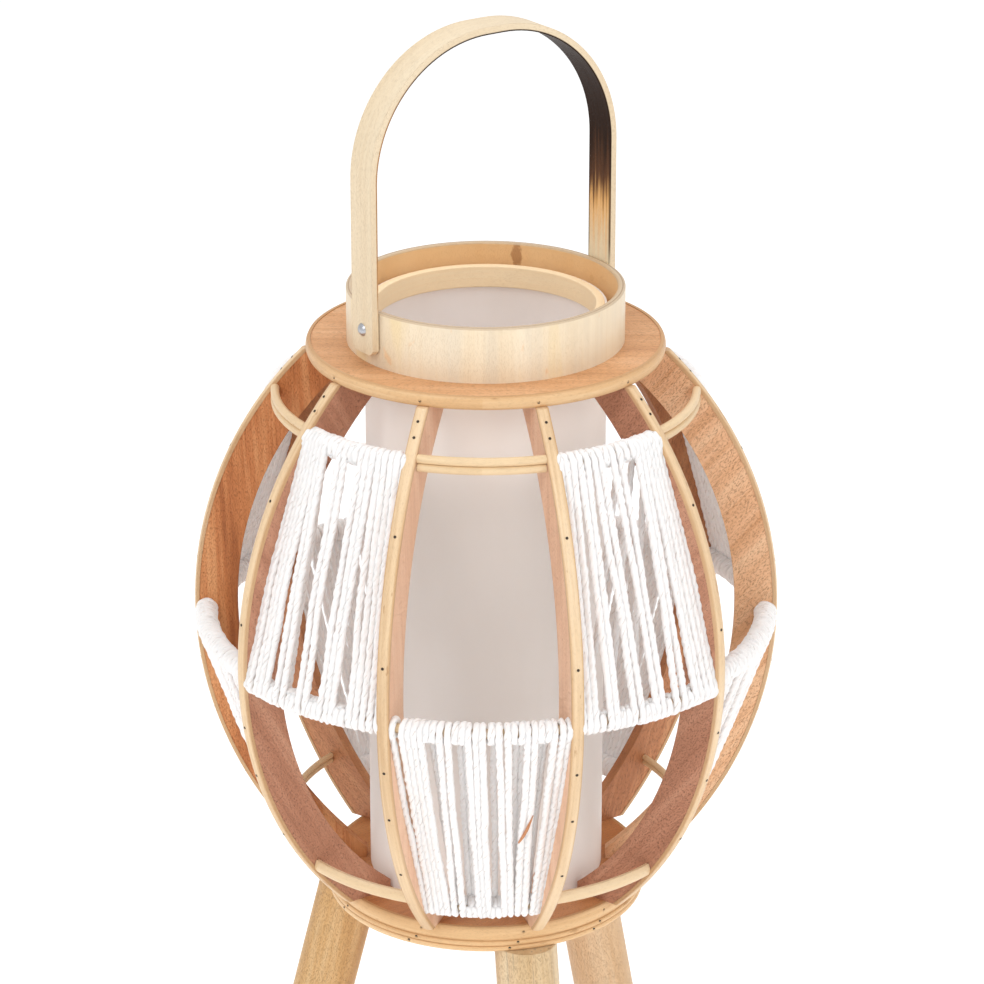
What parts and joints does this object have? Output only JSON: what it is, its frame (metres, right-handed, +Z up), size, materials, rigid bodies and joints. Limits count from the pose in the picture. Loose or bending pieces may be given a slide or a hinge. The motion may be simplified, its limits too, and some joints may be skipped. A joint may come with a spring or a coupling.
{
  "type": "hurricane candle lantern",
  "caption": "Tripod hurricane lantern: bulging ribbed wooden cage with wound cord panels, loose white shade tube, bent-wood collar and swinging bail handle.",
  "frame": {"origin": "on the floor, on the lantern's vertical axis, at the middle of its footprint", "axes": "+Z up along the shade tube; -Y faces the front, towards the middle of the front window; +X to the right seen from the front"},
  "size_m": [0.37, 0.3674, 0.7496],
  "materials": {
    "ply": "thin oiled hardwood plywood, open grain, satin",
    "rattan": "split rattan, clear varnish, satin",
    "pale_wood": "bare pale wood, light varnish, fine straight grain",
    "cord": "loosely twisted white paper cord, matt",
    "opal_shade": "opal white sheet, softly translucent, matt",
    "rivet_steel": "plated, slightly dull",
    "brad_steel": "bare steel, darkened"
  },
  "bodies": {
    "cage": {"base_disc": "ply", "base_upper_band": "rattan", "base_middle_band": "rattan", "base_lower_band": "rattan", "top_disc": "ply", "top_disc_band": "rattan", "collar_hoop": "pale_wood", "rib_01": "ply", "rib_02": "ply", "rib_03": "ply", "rib_04": "ply", "rib_05": "ply", "rib_06": "ply", "rib_07": "ply", "rib_08": "ply", "rib_09": "ply", "rib_10": "ply", "rib_edging_01": "rattan", "rib_edging_02": "rattan", "rib_edging_03": "rattan", "rib_edging_04": "rattan", "rib_edging_05": "rattan", "rib_edging_06": "rattan", "rib_edging_07": "rattan", "rib_edging_08": "rattan", "rib_edging_09": "rattan", "rib_edging_10": "rattan", "cord_panel_01": "cord", "cord_panel_02": "cord", "cord_panel_03": "cord", "cord_panel_04": "cord", "cord_panel_05": "cord", "cord_panel_06": "cord", "cord_panel_07": "cord", "cord_panel_08": "cord", "cord_panel_09": "cord", "cord_panel_10": "cord", "middle_rods": "rattan", "upper_rods": "rattan", "lower_rods": "rattan", "upper_sticks": "rattan", "lower_sticks": "rattan", "handle_rivets": "rivet_steel", "leg_front": "pale_wood", "leg_right": "pale_wood", "leg_left": "pale_wood", "leg_dowels": "pale_wood", "rib_pins_top": "brad_steel", "rib_pins_base": "brad_steel", "edging_brads": "brad_steel", "band_brads": "brad_steel"},
    "handle": {"handle": "pale_wood"},
    "shade": {"shade_tube": "opal_shade", "shade_hoop": "pale_wood"}
  },
  "joints": [
    {"name": "handle_swing", "type": "hinge", "parent": "cage", "child": "handle", "pos_m": [0, 0, 0.5724], "axis": [-0.809, -0.5878, 0], "range_deg": [-98, 98]},
    {"name": "shade_lift", "type": "slide", "parent": "cage", "child": "shade", "axis": [0, 0, 1], "range_m": [0, 0.1]}
  ]
}
